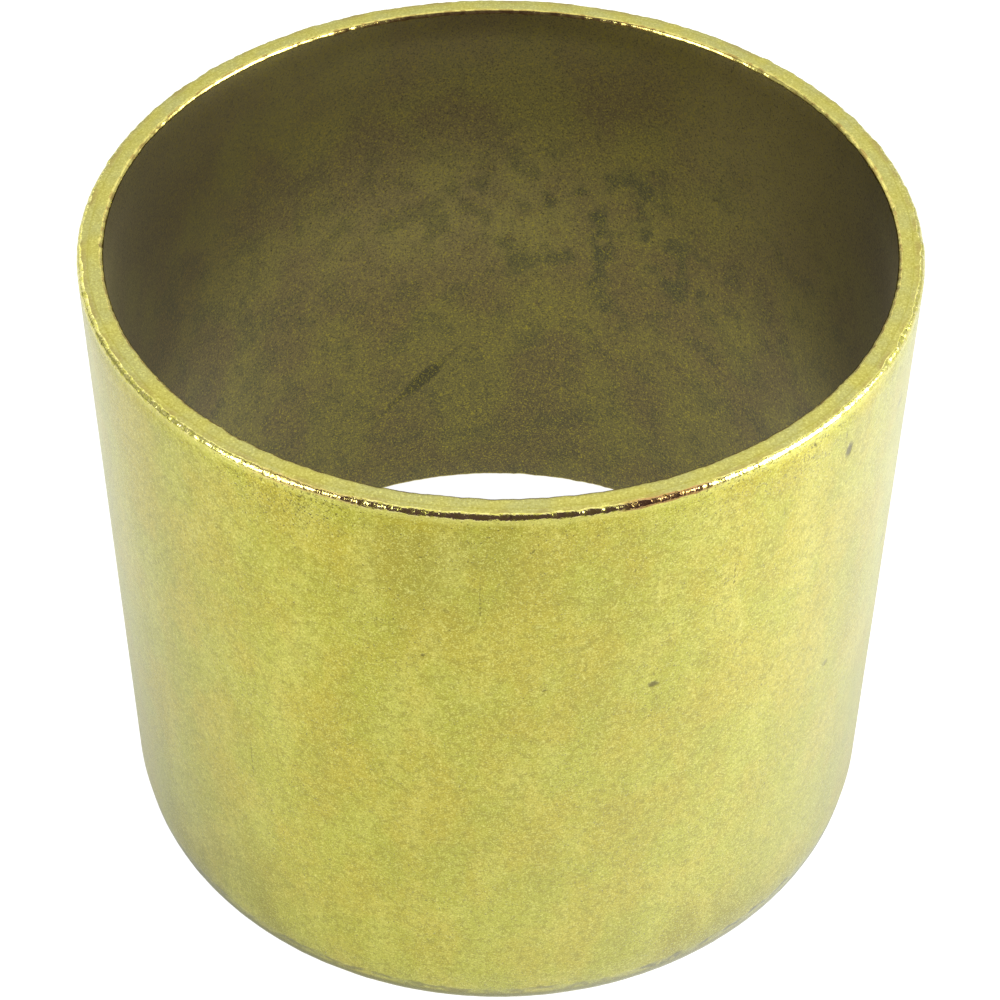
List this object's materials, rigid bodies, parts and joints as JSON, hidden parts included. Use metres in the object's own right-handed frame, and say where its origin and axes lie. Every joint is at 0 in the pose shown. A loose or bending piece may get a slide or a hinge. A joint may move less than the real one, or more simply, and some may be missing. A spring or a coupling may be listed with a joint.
{
  "type": "sleeve bushing",
  "caption": "Plain thin-walled sleeve bushing: a straight open tube with broken edges and a shallow outer lead-in at its bottom end, to guide a rotating shaft in a housing.",
  "frame": {"origin": "centre of the bottom end face, on the bore axis; the bottom end is the one with the lead-in", "axes": "+Z along the bore axis, from the bottom end face to the top end face; X and Y are free, because the part is a body of revolution"},
  "size_m": [0.032, 0.032, 0.027],
  "materials": {
    "bearing_metal": "satin drawn and turned surface, brighter broken edges, dull stained bore"
  },
  "bodies": {
    "root": {"sleeve": "bearing_metal"}
  },
  "joints": []
}
